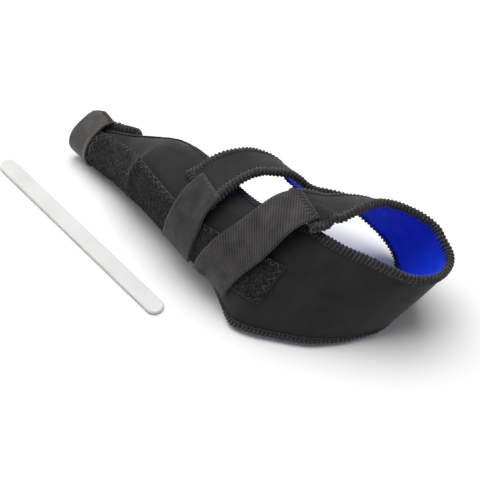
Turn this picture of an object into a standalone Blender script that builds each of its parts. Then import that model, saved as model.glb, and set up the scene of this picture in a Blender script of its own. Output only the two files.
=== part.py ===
"""Bunion corrector: a neoprene wrap with three hook straps, and the splint bar that slides into it.

The wrap lies empty on its sole edge, toe loop towards -X, inner side of the foot towards -Y, +Z up.
The neoprene is one sheet. A table gives the lower and the upper edge of the sheet fold by fold, from the
toe loop along the inner side, round the turn at the mouth, back along the outer side and over the top.
Metres; the origin is the middle of the underside.
"""
import math

import bmesh
import bpy
import numpy as np
from mathutils import Vector
from mathutils.bvhtree import BVHTree

for old in list(bpy.data.objects):
    bpy.data.objects.remove(old)

# Driving dimensions
WRAP_LENGTH = 0.210
WRAP_WIDTH = 0.094
WRAP_HEIGHT = 0.062
TOE_LOOP_DIAMETER = 0.022
NEOPRENE_WALL = 0.0026
TONGUE_GAP = 0.014
TOE_TONGUE_BASE = 0.030

TOE_STRAP_WIDTH = 0.0155
FRONT_STRAP_WIDTH = 0.0205
REAR_STRAP_WIDTH = 0.022
STRAP_THICKNESS = 0.0011
TOE_STRAP_LAP = 0.0045
FRONT_STRAP_LAP = 0.007
REAR_STRAP_LAP = 0.005

PILE_START = 0.014
PILE_LENGTH = 0.147
PILE_WIDTH = 0.023
PILE_THICKNESS = 0.0011

BAR_LENGTH = 0.135
BAR_WIDTH = 0.009
BAR_THICKNESS = 0.002
BAR_ROUNDING = 0.0005
BAR_FROM_TOE_END = 0.051
BAR_FROM_WRAP = 0.021
BAR_TURN = math.radians(0.7)
BAR_END_SEGMENTS = 8
BAR_EDGE_SEGMENTS = 2
ROUND_PROFILE = 0.5
SHARP_ANGLE = math.radians(50)

CLEARANCE = 0.0003
LAY_OFF = 0.00095

# Toe loop, a row per section: where it is along the wrap, the middle of the loop across it and its outer
# diameter, as shares of the wrap's length, its width and the loop's diameter, and how far round the sheet's
# upper edge reaches, in degrees from the outer side over the top
TOE_SECTIONS = [
    # along, across, diameter, upper edge
    (0.000, 0.222, 1.03, 75),
    (0.045, 0.226, 1.06, 70),
    (0.095, 0.237, 1.15, 58),
    (0.180, 0.266, 1.44, 42),
    (0.276, 0.280, 1.76, 34),
]
TOE_LOWER_EDGE = 285

# The rest of the sheet, a row per fold: its lower edge and its upper edge, along, across and up, as shares of
# the wrap's length, width and height, and how far the wall between them bows out, as a share of the height
FOLDS = [
    # lower along, across, up, upper along, across, up, bow
    (0.381, 0.285, 0.000, 0.381, 0.425, 0.630, 0.440),
    (0.500, 0.215, 0.000, 0.514, 0.395, 0.677, 0.400),
    (0.571, 0.140, 0.008, 0.581, 0.390, 0.700, 0.330),
    (0.619, 0.080, 0.013, 0.643, 0.405, 0.735, 0.245),
    (0.667, 0.025, 0.015, 0.710, 0.425, 0.797, 0.150),
    (0.700, 0.004, 0.015, 0.743, 0.431, 0.831, 0.097),
    (0.743, 0.043, 0.015, 0.781, 0.441, 0.839, 0.065),
    (0.790, 0.117, 0.013, 0.829, 0.479, 0.806, 0.048),
    (0.848, 0.223, 0.010, 0.890, 0.543, 0.774, 0.022),
    (0.886, 0.351, 0.000, 0.943, 0.606, 0.726, 0.012),
    (0.902, 0.436, 0.000, 0.971, 0.660, 0.677, 0.012),
    (0.916, 0.543, 0.000, 0.990, 0.734, 0.645, 0.012),
    (0.913, 0.638, 0.000, 0.995, 0.809, 0.613, 0.012),
    (0.886, 0.777, 0.000, 0.981, 0.904, 0.597, 0.016),
    (0.843, 0.883, 0.000, 0.957, 0.957, 0.613, 0.016),
    (0.803, 0.943, 0.000, 0.924, 0.973, 0.661, 0.016),
    (0.773, 0.984, 0.040, 0.895, 0.984, 0.705, 0.016),
    (0.735, 0.989, 0.120, 0.857, 0.940, 0.785, 0.025),
    (0.700, 0.968, 0.200, 0.819, 0.846, 0.882, 0.040),
    (0.665, 0.935, 0.280, 0.805, 0.750, 0.948, 0.055),
    (0.586, 0.851, 0.339, 0.805, 0.628, 0.984, 0.065),
    (0.524, 0.745, 0.435, 0.800, 0.521, 0.968, 0.065),
    (0.490, 0.670, 0.677, 0.790, 0.436, 0.927, 0.065),
    (0.467, 0.585, 0.790, 0.776, 0.372, 0.919, 0.048),
    (0.456, 0.494, 0.855, 0.762, 0.319, 0.919, 0.040),
    (0.432, 0.385, 0.830, 0.765, 0.200, 0.870, 0.040),
    (0.418, 0.270, 0.750, 0.770, 0.095, 0.790, 0.040),
    (0.412, 0.190, 0.660, 0.775, 0.040, 0.710, 0.040),
]
FORK_ROW = 19
REAR_TONGUE_END_ROW = 23.0
FRONT_TONGUE_END_ROW = 26.6
FRONT_TONGUE_SHARE = 0.46
MEDIAL_WALL_ROWS = 8

# The toe tongue goes on round the loop from the sheet's lower edge, and ends this far round, in degrees
TOE_TONGUE_END = 440
# Where along its way the toe tongue starts to narrow, and where the sheet starts to tuck in under it, as shares
TAPER_START = 0.70
TUCK_START = 0.45
# Where across its tongue each strap is sewn on, as a share of the way round the sheet
FRONT_STRAP_SEAT = 0.26
REAR_STRAP_SEAT = 0.77

# Where the pile strip's upper edge runs up the wall: how far along the wrap, as a share of its length, and how
# far round the wall from its lower edge
PILE_EDGE = [
    # along, round
    (0.05, 0.84),
    (0.18, 0.70),
    (0.33, 0.63),
    (0.60, 0.60),
    (0.80, 0.66),
]

# The free run of each strap down the inner wall, in the same two measures, and how far it stands off there, as a
# share of the wrap's height
TOE_STRAP_RUN = [
    # along, round, off
    (0.039, 0.58, 0.00),
    (0.037, 0.40, 0.00),
    (0.034, 0.27, 0.00),
]
FRONT_STRAP_RUN = [
    # along, round, off
    (0.537, 0.70, 0.00),
    (0.542, 0.60, 0.00),
    (0.545, 0.48, 0.00),
    (0.540, 0.40, 0.00),
    (0.532, 0.33, 0.00),
]
REAR_STRAP_RUN = [
    # along, round, off
    (0.702, 0.80, 0.09),
    (0.682, 0.62, 0.00),
    (0.666, 0.48, 0.00),
    (0.651, 0.34, 0.00),
    (0.643, 0.22, 0.00),
]

# Mesh density
STEP_ALONG = 0.006
CELLS_ACROSS = 12
TOE_TONGUE_STEPS = 14
PILE_CELLS = 8
STRAP_STEP = 0.0025
STRAP_CELLS = 5
TIGHTENING_ROUNDS = 14
PUSH_REACH = 0.010
MERGE_DISTANCE = 0.00001


def curve_value(values, stations, at):
    """Value at a station of the smooth curve through the rows' values."""
    last = len(stations) - 1
    i = int(np.clip(np.searchsorted(stations, at) - 1, 0, last - 1))
    slopes = []
    for k in (i, i + 1):
        before = max(k - 1, 0)
        after = min(k + 1, last)
        slopes.append((values[after] - values[before]) / (stations[after] - stations[before]))
    width = stations[i + 1] - stations[i]
    t = (at - stations[i]) / width
    start = (2 * t**3 - 3 * t**2 + 1) * values[i] + (t**3 - 2 * t**2 + t) * width * slopes[0]
    end = (3 * t**2 - 2 * t**3) * values[i + 1] + (t**3 - t**2) * width * slopes[1]
    return start + end


def smooth_step(share):
    """A share from 0 to 1 that starts and ends level."""
    share = min(max(share, 0.0), 1.0)
    return share * share * (3 - 2 * share)


def tucked(along, share):
    """How far the sheet's upper edge is pressed inwards, where the toe tongue lies over it."""
    fading = 1 - smooth_step((along - TOE_TONGUE_BASE) / TOE_TONGUE_BASE)
    return (NEOPRENE_WALL + LAY_OFF) * smooth_step((share - TUCK_START) / (1 - TUCK_START)) * fading


class Sheet:
    """The curved sheet: a wall from its lower to its upper edge, an arc across, smooth from fold to fold."""

    def __init__(self, rows):
        self.rows = np.array(rows)
        middles = (self.rows[:, 0:3] + self.rows[:, 3:6]) / 2
        steps = np.linalg.norm(np.diff(middles, axis=0), axis=1)
        self.stations = np.concatenate([[0.0], np.cumsum(steps)])

    def station(self, row):
        """Distance along the sheet of a row, which may lie between two."""
        return float(np.interp(row, range(len(self.stations)), self.stations))

    def edges(self, along):
        values = curve_value(self.rows, self.stations, along)
        return values[0:3], values[3:6], values[6]

    def middle(self, along):
        lower, upper, _ = self.edges(along)
        return (lower + upper) / 2

    def arc_length(self, along):
        """Length of the sheet from its lower to its upper edge."""
        lower, upper, bow = self.edges(along)
        half = np.linalg.norm(upper - lower) / 2
        return (half**2 + bow**2) / (2 * bow) * 4 * math.atan(bow / half)

    def point(self, along, share, lift=0.0):
        """Point a share of the way round the arc from the lower edge to the upper one, lifted off the sheet."""
        lower, upper, bow = self.edges(along)
        chord = upper - lower
        half = np.linalg.norm(chord) / 2
        up = chord / (2 * half)
        ahead = self.middle(along + STEP_ALONG / 2) - self.middle(along - STEP_ALONG / 2)
        out = np.cross(ahead, up)
        out /= np.linalg.norm(out)
        radius = (half**2 + bow**2) / (2 * bow)
        turn = (share - 0.5) * 4 * math.atan(bow / half)
        centre = (lower + upper) / 2 + out * (bow - radius)
        reach = radius + lift - tucked(along, share)
        return centre + reach * (math.cos(turn) * out + math.sin(turn) * up)


def sheet_rows():
    """Lower edge, upper edge and bow of every fold, in metres, from the toe."""
    sizes = np.array([WRAP_LENGTH, WRAP_WIDTH, WRAP_HEIGHT])
    rows = []
    for along, across, diameter, upper_edge in TOE_SECTIONS:
        radius = diameter * TOE_LOOP_DIAMETER / 2
        centre = np.array([along * WRAP_LENGTH, across * WRAP_WIDTH, radius])
        ends = []
        for angle in (TOE_LOWER_EDGE, upper_edge):
            rad = math.radians(angle)
            ends.append(centre + radius * np.array([0, math.cos(rad), math.sin(rad)]))
        half_turn = math.radians(TOE_LOWER_EDGE - upper_edge) / 2
        rows.append([*ends[0], *ends[1], radius * (1 - math.cos(half_turn))])
    for fold in FOLDS:
        lower = np.array(fold[0:3]) * sizes
        upper = np.array(fold[3:6]) * sizes
        rows.append([*lower, *upper, fold[6] * WRAP_HEIGHT])
    return rows


SHEET = Sheet(sheet_rows())
FIRST_FOLD = len(TOE_SECTIONS)
FORK_START = SHEET.station(FIRST_FOLD + FORK_ROW)
REAR_TONGUE_END = SHEET.station(FIRST_FOLD + REAR_TONGUE_END_ROW)
FRONT_TONGUE_END = SHEET.station(FIRST_FOLD + FRONT_TONGUE_END_ROW)


def on_floor(point):
    """The sheet's underside is pressed flat where it would go below the floor."""
    return Vector((point[0], point[1], max(point[2], 0.0)))


def steps_between(start, end):
    count = max(2, round((end - start) / STEP_ALONG))
    return [start + (end - start) * k / count for k in range(count + 1)]


def add_grid(mesh, columns):
    """Faces between neighbouring columns of points; the columns run from the lower edge to the upper one."""
    rings = [[mesh.verts.new(point) for point in column] for column in columns]
    for near, far in zip(rings, rings[1:]):
        for k in range(len(near) - 1):
            mesh.faces.new((near[k], far[k], far[k + 1], near[k + 1]))


def gap_edges(along):
    """Shares of the sheet between which the two tongues part, opening round from the fork."""
    opened = math.sqrt(min(1.0, (along - FORK_START) / TONGUE_GAP))
    lower, upper, _ = SHEET.edges(along)
    half = opened * TONGUE_GAP / 2 / np.linalg.norm(upper - lower)
    return FRONT_TONGUE_SHARE - half, FRONT_TONGUE_SHARE + half


def tongue_columns(end, first_share, last_share, cells):
    """Columns of one tongue over the top, from the fork to its end."""
    columns = []
    for along in steps_between(FORK_START, end):
        low = first_share(along)
        high = last_share(along)
        column = []
        for k in range(cells + 1):
            column.append(on_floor(SHEET.point(along, low + (high - low) * k / cells)))
        columns.append(column)
    return columns


def toe_loop_share(degrees):
    """Share of the sheet's arc at an angle round the toe loop."""
    return (TOE_LOWER_EDGE - degrees) / (TOE_LOWER_EDGE - TOE_SECTIONS[1][3])


def toe_tongue_point(along, degrees):
    """On the small tongue, which winds on over the sheet's upper edge and narrows to the strap."""
    done = (degrees - TOE_LOWER_EDGE) / (TOE_TONGUE_END - TOE_LOWER_EDGE)
    narrowed = smooth_step((done - TAPER_START) / (1 - TAPER_START))
    reach = 1 - narrowed * (1 - TOE_STRAP_WIDTH / TOE_TONGUE_BASE)
    return SHEET.point(along * reach, toe_loop_share(degrees))


def toe_tongue_columns(stations):
    columns = []
    for k in range(TOE_TONGUE_STEPS + 1):
        degrees = TOE_LOWER_EDGE + (TOE_TONGUE_END - TOE_LOWER_EDGE) * k / TOE_TONGUE_STEPS
        columns.append([on_floor(toe_tongue_point(along, degrees)) for along in stations])
    return columns


def push_out(points, under, distance):
    """Points no nearer than a distance to the outer side of the surface under them."""
    pushed = []
    for point in points:
        spot, normal, _, _ = under.find_nearest(point)
        height = (point - spot).dot(normal)
        if height < distance and (point - spot).length < PUSH_REACH:
            point = point + normal * (distance - height)
        pushed.append(point)
    return pushed


def medial_wall():
    """The inner wall of the wrap alone, to lay tongues and straps on."""
    end = SHEET.station(FIRST_FOLD + MEDIAL_WALL_ROWS)
    mesh = bmesh.new()
    shares = [k / CELLS_ACROSS for k in range(CELLS_ACROSS + 1)]
    add_grid(mesh, [[on_floor(SHEET.point(along, share)) for share in shares] for along in steps_between(0, end)])
    mesh.normal_update()
    surface = BVHTree.FromBMesh(mesh)
    mesh.free()
    return surface


def make_wrap_sheet():
    """The neoprene's outer face: the walls, the two tongues and the toe tongue, one open surface."""
    mesh = bmesh.new()
    tongue_cells = round(CELLS_ACROSS * FRONT_TONGUE_SHARE)
    rear_cells = CELLS_ACROSS - tongue_cells
    shares = [FRONT_TONGUE_SHARE * k / tongue_cells for k in range(tongue_cells)]
    shares += [FRONT_TONGUE_SHARE + (1 - FRONT_TONGUE_SHARE) * k / rear_cells for k in range(rear_cells + 1)]
    base = steps_between(0, TOE_TONGUE_BASE)
    stations = base + steps_between(TOE_TONGUE_BASE, FORK_START)[1:]
    add_grid(mesh, [[on_floor(SHEET.point(along, share)) for share in shares] for along in stations])
    front = tongue_columns(FRONT_TONGUE_END, lambda along: 0.0, lambda along: gap_edges(along)[0], tongue_cells)
    rear = tongue_columns(REAR_TONGUE_END, lambda along: gap_edges(along)[1], lambda along: 1.0, rear_cells)
    wall = medial_wall()
    for tongue in (front, rear):
        add_grid(mesh, [push_out(column, wall, NEOPRENE_WALL + LAY_OFF) for column in tongue])
    add_grid(mesh, toe_tongue_columns(base))
    bmesh.ops.remove_doubles(mesh, verts=mesh.verts, dist=MERGE_DISTANCE)
    mesh.normal_update()
    return mesh


def make_pile_strip():
    """The long strip of loops on the inner wall, down from its upper edge by the strip's width."""
    places = np.array([along * WRAP_LENGTH for along, _ in PILE_EDGE])
    rounds = np.array([share for _, share in PILE_EDGE])
    mesh = bmesh.new()
    columns = []
    for along in steps_between(PILE_START, PILE_START + PILE_LENGTH):
        top = curve_value(rounds, places, along)
        column = []
        for k in range(PILE_CELLS + 1):
            share = top - k / PILE_CELLS * PILE_WIDTH / SHEET.arc_length(along)
            column.append(Vector(SHEET.point(along, share, CLEARANCE)))
        columns.append(column[::-1])
    add_grid(mesh, columns)
    mesh.normal_update()
    return mesh


def surface_to_lie_on(wrap_sheet):
    """The wrap's outer face and the top of the pile strip as one surface, for the straps."""
    strip_top = make_pile_strip()
    for vert in strip_top.verts:
        vert.co += vert.normal * PILE_THICKNESS
    lying = bpy.data.meshes.new("lying")
    strip_top.to_mesh(lying)
    strip_top.free()
    outside = wrap_sheet.copy()
    outside.from_mesh(lying)
    bpy.data.meshes.remove(lying)
    outside.normal_update()
    surface = BVHTree.FromBMesh(outside)
    outside.free()
    return surface


def pull_tight(points, under):
    """A path pulled taut over what lies under it, its two ends held."""
    for _ in range(TIGHTENING_ROUNDS):
        eased = [points[0]]
        for before, here, after in zip(points, points[1:], points[2:]):
            eased.append((before + 2 * here + after) / 4)
        eased.append(points[-1])
        points = push_out(eased, under, LAY_OFF)
    return points


def make_strap(route, width, under):
    """A flat strap along a route, square to it, lying on the surface under it."""
    route = [Vector(point) for point in route]
    lengths = np.concatenate([[0.0], np.cumsum([(b - a).length for a, b in zip(route, route[1:])])])
    values = np.array([list(point) for point in route])
    count = round(lengths[-1] / STRAP_STEP)
    middle = [Vector(curve_value(values, lengths, lengths[-1] * k / count)) for k in range(count + 1)]
    middle = pull_tight(middle, under)
    lines = []
    for side in np.linspace(-0.5, 0.5, STRAP_CELLS + 1):
        line = []
        for k, point in enumerate(middle):
            ahead = middle[min(k + 1, count)] - middle[max(k - 1, 0)]
            normal = under.find_nearest(point)[1]
            aside = point + ahead.cross(normal).normalized() * side * width
            spot = under.ray_cast(aside + normal * PUSH_REACH / 2, -normal)[0]
            if spot and (aside - spot).dot(normal) < LAY_OFF:
                aside = spot + normal * LAY_OFF
            line.append(aside)
        lines.append(pull_tight(line, under))
    mesh = bmesh.new()
    add_grid(mesh, lines)
    mesh.normal_update()
    return mesh


def place_on(under, along, share, off=0.0):
    """The outermost spot over a place on the sheet, a clearance off what lies there, or further off."""
    base = Vector(SHEET.point(along, share))
    out = (Vector(SHEET.point(along, share, PUSH_REACH)) - base).normalized()
    spot = under.ray_cast(base + out * PUSH_REACH, -out)[0]
    return (spot or base) + out * (LAY_OFF + off * WRAP_HEIGHT)


def wall_route(under, run):
    """Places down the inner wall for the free run of a strap."""
    return [place_on(under, along * WRAP_LENGTH, share, off) for along, share, off in run]


def toe_strap_start():
    """Along the end of the toe tongue."""
    back = math.degrees(TOE_STRAP_LAP / (TOE_LOOP_DIAMETER / 2))
    middle = TOE_TONGUE_BASE / 2
    places = []
    for k in range(3):
        degrees = TOE_TONGUE_END - back * (2 - k) / 2
        spot = Vector(toe_tongue_point(middle, degrees))
        axis = Vector((spot.x, TOE_SECTIONS[0][1] * WRAP_WIDTH, TOE_LOOP_DIAMETER / 2))
        places.append(spot + (spot - axis).normalized() * LAY_OFF)
    return places


def make_bar():
    """The flat splint bar, a box with its upright edges rounded to half circles."""
    mesh = bmesh.new()
    bmesh.ops.create_cube(mesh, size=1.0)
    bmesh.ops.scale(mesh, vec=(BAR_LENGTH, BAR_WIDTH, BAR_THICKNESS), verts=mesh.verts)
    upright = [edge for edge in mesh.edges if abs(edge.verts[0].co.z - edge.verts[1].co.z) > BAR_THICKNESS / 2]
    bmesh.ops.bevel(
        mesh, geom=upright, offset=BAR_WIDTH / 2, segments=BAR_END_SEGMENTS, profile=ROUND_PROFILE, affect="EDGES"
    )
    bmesh.ops.remove_doubles(mesh, verts=mesh.verts, dist=MERGE_DISTANCE)
    data = bpy.data.meshes.new("splint_bar")
    mesh.to_mesh(data)
    mesh.free()
    data.materials.append(PLASTIC)
    data.shade_smooth()
    data.set_sharp_from_angle(angle=SHARP_ANGLE)
    bar = bpy.data.objects.new("splint_bar", data)
    PARTS.objects.link(bar)
    rounding = bar.modifiers.new("Rounding", "BEVEL")
    rounding.width = BAR_ROUNDING
    rounding.segments = BAR_EDGE_SEGMENTS
    rounding.limit_method = "ANGLE"
    rounding.angle_limit = SHARP_ANGLE
    bar.location = (BAR_FROM_TOE_END, -BAR_FROM_WRAP, BAR_THICKNESS / 2)
    bar.rotation_euler.z = BAR_TURN
    return bar


def stand_on_origin():
    """Moves everything so that the origin is the middle of the underside."""
    bpy.context.view_layer.update()
    graph = bpy.context.evaluated_depsgraph_get()
    corners = []
    for thing in PARTS.objects:
        seen = thing.evaluated_get(graph)
        corners += [seen.matrix_world @ vert.co for vert in seen.data.vertices]
    low = Vector(min(corner[axis] for corner in corners) for axis in range(3))
    high = Vector(max(corner[axis] for corner in corners) for axis in range(3))
    shift = Vector((-(low.x + high.x) / 2, -(low.y + high.y) / 2, -low.z))
    for thing in PARTS.objects:
        thing.location += shift
    return shift


def plain_material(name, colour, roughness):
    material = bpy.data.materials.new(name)
    material.use_nodes = True
    shader = material.node_tree.nodes["Principled BSDF"]
    shader.inputs["Base Color"].default_value = (*colour, 1.0)
    shader.inputs["Roughness"].default_value = roughness
    material.diffuse_color = (*colour, 1.0)
    return material


def add_object(name, mesh, material, thickness, grow):
    """An object from an open surface, made solid; grow is -1 inwards and 1 outwards."""
    data = bpy.data.meshes.new(name)
    mesh.to_mesh(data)
    mesh.free()
    data.materials.append(material)
    data.shade_smooth()
    thing = bpy.data.objects.new(name, data)
    PARTS.objects.link(thing)
    solid = thing.modifiers.new("Wall", "SOLIDIFY")
    solid.thickness = thickness
    solid.offset = grow
    solid.use_even_offset = True
    return thing


PARTS = bpy.data.collections.new("bunion_corrector")
bpy.context.scene.collection.children.link(PARTS)

NEOPRENE = plain_material("Black neoprene", (0.030, 0.030, 0.032), 0.85)
WEBBING = plain_material("Black webbing", (0.050, 0.048, 0.047), 0.75)
PILE = plain_material("Black loop pile", (0.022, 0.022, 0.023), 0.95)
PLASTIC = plain_material("White plastic", (0.750, 0.750, 0.740), 0.35)

wrap_sheet = make_wrap_sheet()
OUTER = surface_to_lie_on(wrap_sheet)
front_start = place_on(OUTER, FRONT_TONGUE_END - FRONT_STRAP_LAP, FRONT_STRAP_SEAT)
rear_start = place_on(OUTER, REAR_TONGUE_END - REAR_STRAP_LAP, REAR_STRAP_SEAT)
straps = [
    ("toe_strap", toe_strap_start() + wall_route(OUTER, TOE_STRAP_RUN), TOE_STRAP_WIDTH),
    ("front_strap", [front_start] + wall_route(OUTER, FRONT_STRAP_RUN), FRONT_STRAP_WIDTH),
    ("rear_strap", [rear_start] + wall_route(OUTER, REAR_STRAP_RUN), REAR_STRAP_WIDTH),
]
add_object("neoprene_wrap", wrap_sheet, NEOPRENE, NEOPRENE_WALL, -1)
add_object("pile_strip", make_pile_strip(), PILE, PILE_THICKNESS, 1)
for name, route, width in straps:
    add_object(name, make_strap(route, width, OUTER), WEBBING, STRAP_THICKNESS, 1)
make_bar()
SHIFT = stand_on_origin()
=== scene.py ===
# %% [markdown]
# # A bunion corrector, dressed
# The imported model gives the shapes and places. This lesson puts the real surfaces on it: knitted jersey
# on neoprene, overlocked edges, loop pile, woven straps with their stitching, and the white splint bar
# beside it. Everything is in metres, in the model's own frame.

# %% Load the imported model
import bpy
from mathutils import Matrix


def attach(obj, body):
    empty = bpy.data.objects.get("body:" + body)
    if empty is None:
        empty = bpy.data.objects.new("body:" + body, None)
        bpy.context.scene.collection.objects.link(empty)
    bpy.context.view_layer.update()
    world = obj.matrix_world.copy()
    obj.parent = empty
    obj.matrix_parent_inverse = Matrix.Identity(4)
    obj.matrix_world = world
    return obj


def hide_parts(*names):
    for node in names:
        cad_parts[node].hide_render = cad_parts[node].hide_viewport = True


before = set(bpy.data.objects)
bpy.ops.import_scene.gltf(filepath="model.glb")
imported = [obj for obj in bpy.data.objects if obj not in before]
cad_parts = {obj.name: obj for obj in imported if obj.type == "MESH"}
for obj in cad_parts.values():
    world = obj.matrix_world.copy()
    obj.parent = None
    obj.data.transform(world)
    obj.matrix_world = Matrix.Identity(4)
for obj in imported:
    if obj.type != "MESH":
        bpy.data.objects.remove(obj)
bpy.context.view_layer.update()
print("nodes:", sorted(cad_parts))

# %% [markdown]
# The photograph looks down on the wrap from its inner side, from about 46 degrees up, through a long
# lens, so parallel edges hardly draw together. A 120 mm lens at 0.8 m gives that.

# %% Camera
import math

import bmesh
import bpy
import numpy as np
from mathutils import Vector
from mathutils.bvhtree import BVHTree
from mathutils.kdtree import KDTree

AIM = Vector((0.0082, 0.0064, 0.0))
CAMERA_TURN = math.radians(51.5)
CAMERA_RISE = math.radians(46.0)
CAMERA_DISTANCE = 0.8
FOCAL_LENGTH_MM = 120
SENSOR_WIDTH_MM = 36

towards_camera = Vector((
    math.sin(CAMERA_TURN) * math.cos(CAMERA_RISE),
    -math.cos(CAMERA_TURN) * math.cos(CAMERA_RISE),
    math.sin(CAMERA_RISE),
))
lens = bpy.data.cameras.new("camera")
lens.lens = FOCAL_LENGTH_MM
lens.sensor_width = SENSOR_WIDTH_MM
camera = bpy.data.objects.new("camera", lens)
camera.location = AIM + towards_camera * CAMERA_DISTANCE
camera.rotation_euler = towards_camera.to_track_quat("Z", "Y").to_euler()
bpy.context.scene.collection.objects.link(camera)
bpy.context.scene.camera = camera
print("camera at", [round(value, 3) for value in camera.location])

# %% [markdown]
# Product photographs of black cloth need a bright ground and a big soft light from above and behind.
# The tops of the folds turn grey, and the wall that faces the camera stays nearly black. The picture is
# shown as it is lit, without a film curve, so that the pale ground stays pale and the blue lining stays
# saturated.

# %% Studio
FLOOR_LEVEL = -0.0004
FLOOR_HALF_WIDTH = 3.0
FLOOR_WHITE = 0.94
WORLD_STRENGTH = 0.28
ORIGIN = (0, 0, 0)


def area_light(name, place, aim, size, power):
    """A soft square light that looks at a point."""
    data = bpy.data.lights.new(name, "AREA")
    data.shape = "SQUARE"
    data.size = size
    data.energy = power
    light = bpy.data.objects.new(name, data)
    light.location = place
    light.rotation_euler = (Vector(place) - Vector(aim)).to_track_quat("Z", "Y").to_euler()
    bpy.context.scene.collection.objects.link(light)
    return light


def plain_world(strength):
    world = bpy.data.worlds.new("studio")
    world.use_nodes = True
    background = world.node_tree.nodes["Background"]
    background.inputs["Color"].default_value = (1.0, 1.0, 1.0, 1.0)
    background.inputs["Strength"].default_value = strength
    bpy.context.scene.world = world


def make_floor(half_width):
    mesh = bmesh.new()
    bmesh.ops.create_grid(mesh, x_segments=1, y_segments=1, size=half_width)
    data = bpy.data.meshes.new("floor")
    mesh.to_mesh(data)
    mesh.free()
    floor = bpy.data.objects.new("floor", data)
    floor.location.z = FLOOR_LEVEL
    bpy.context.scene.collection.objects.link(floor)
    material = bpy.data.materials.new("pale_floor")
    material.use_nodes = True
    shader = material.node_tree.nodes["Principled BSDF"]
    shader.inputs["Base Color"].default_value = (FLOOR_WHITE, FLOOR_WHITE, FLOOR_WHITE, 1.0)
    shader.inputs["Roughness"].default_value = 0.9
    data.materials.append(material)
    return floor


bpy.context.scene.view_settings.view_transform = "Standard"
plain_world(WORLD_STRENGTH)
make_floor(FLOOR_HALF_WIDTH)
area_light("overhead", (-0.20, 0.15, 1.2), ORIGIN, size=1.2, power=17)
area_light("window", (-0.9, -0.3, 0.7), ORIGIN, size=0.5, power=2)

# %% [markdown]
# The neoprene is one flat cut that is bent round the foot: from the toe loop along the inner side,
# round the turn at the mouth, back along the outer side, and over the top, where it forks into two
# tongues. A table gives its lower and upper edge fold by fold, the same table as the model's, and a
# smooth curve runs through the folds.

# %% The folds of the neoprene
PLACE = np.array([-0.0962, -0.0336, 0.0])
WRAP_LENGTH = 0.210
WRAP_WIDTH = 0.094
WRAP_HEIGHT = 0.062
TOE_LOOP_DIAMETER = 0.022
WALL = 0.0026
TONGUE_GAP = 0.014
TOE_TONGUE_BASE = 0.030
LAY_OFF = 0.00095
SHEET_STEP = 0.006

# along, across and diameter as shares of the length, the width and the loop, and the upper edge in degrees
TOE_SECTIONS = [
    (0.000, 0.222, 1.03, 75),
    (0.045, 0.226, 1.06, 70),
    (0.095, 0.237, 1.15, 58),
    (0.180, 0.266, 1.44, 42),
    (0.276, 0.280, 1.76, 34),
]
TOE_LOWER_EDGE = 285
# lower edge along, across and up, upper edge along, across and up, and how far the wall bows out
FOLDS = [
    (0.381, 0.285, 0.000, 0.381, 0.425, 0.630, 0.440),
    (0.500, 0.215, 0.000, 0.514, 0.395, 0.677, 0.400),
    (0.571, 0.140, 0.008, 0.581, 0.390, 0.700, 0.330),
    (0.619, 0.080, 0.013, 0.643, 0.405, 0.735, 0.245),
    (0.667, 0.025, 0.015, 0.710, 0.425, 0.797, 0.150),
    (0.700, 0.004, 0.015, 0.743, 0.431, 0.831, 0.097),
    (0.743, 0.043, 0.015, 0.781, 0.441, 0.839, 0.065),
    (0.790, 0.117, 0.013, 0.829, 0.479, 0.806, 0.048),
    (0.848, 0.223, 0.010, 0.890, 0.543, 0.774, 0.022),
    (0.886, 0.351, 0.000, 0.943, 0.606, 0.726, 0.012),
    (0.902, 0.436, 0.000, 0.971, 0.660, 0.677, 0.012),
    (0.916, 0.543, 0.000, 0.990, 0.734, 0.645, 0.012),
    (0.913, 0.638, 0.000, 0.995, 0.809, 0.613, 0.012),
    (0.886, 0.777, 0.000, 0.981, 0.904, 0.597, 0.016),
    (0.843, 0.883, 0.000, 0.957, 0.957, 0.613, 0.016),
    (0.803, 0.943, 0.000, 0.924, 0.973, 0.661, 0.016),
    (0.773, 0.984, 0.040, 0.895, 0.984, 0.705, 0.016),
    (0.735, 0.989, 0.120, 0.857, 0.940, 0.785, 0.025),
    (0.700, 0.968, 0.200, 0.819, 0.846, 0.882, 0.040),
    (0.665, 0.935, 0.280, 0.805, 0.750, 0.948, 0.055),
    (0.586, 0.851, 0.339, 0.805, 0.628, 0.984, 0.065),
    (0.524, 0.745, 0.435, 0.800, 0.521, 0.968, 0.065),
    (0.490, 0.670, 0.677, 0.790, 0.436, 0.927, 0.065),
    (0.467, 0.585, 0.790, 0.776, 0.372, 0.919, 0.048),
    (0.456, 0.494, 0.855, 0.762, 0.319, 0.919, 0.040),
    (0.432, 0.385, 0.830, 0.765, 0.200, 0.870, 0.040),
    (0.418, 0.270, 0.750, 0.770, 0.095, 0.790, 0.040),
    (0.412, 0.190, 0.660, 0.775, 0.040, 0.710, 0.040),
]
FORK_ROW = 19
REAR_TONGUE_END_ROW = 23.0
FRONT_TONGUE_END_ROW = 26.6
FRONT_TONGUE_SHARE = 0.46
TOE_TONGUE_END = 440
# where the toe tongue starts to narrow, and where the sheet starts to tuck in under it, as shares of the way
TAPER_START = 0.70
TUCK_START = 0.45


def curve_value(values, stations, at):
    """Value at a station of the smooth curve through the rows' values."""
    last = len(stations) - 1
    i = int(np.clip(np.searchsorted(stations, at) - 1, 0, last - 1))
    slopes = []
    for k in (i, i + 1):
        before = max(k - 1, 0)
        after = min(k + 1, last)
        slopes.append((values[after] - values[before]) / (stations[after] - stations[before]))
    width = stations[i + 1] - stations[i]
    t = (at - stations[i]) / width
    start = (2 * t**3 - 3 * t**2 + 1) * values[i] + (t**3 - 2 * t**2 + t) * width * slopes[0]
    end = (3 * t**2 - 2 * t**3) * values[i + 1] + (t**3 - t**2) * width * slopes[1]
    return start + end


def smooth_step(share):
    """A share from 0 to 1 that starts and ends level."""
    share = np.clip(share, 0.0, 1.0)
    return share * share * (3 - 2 * share)


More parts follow.
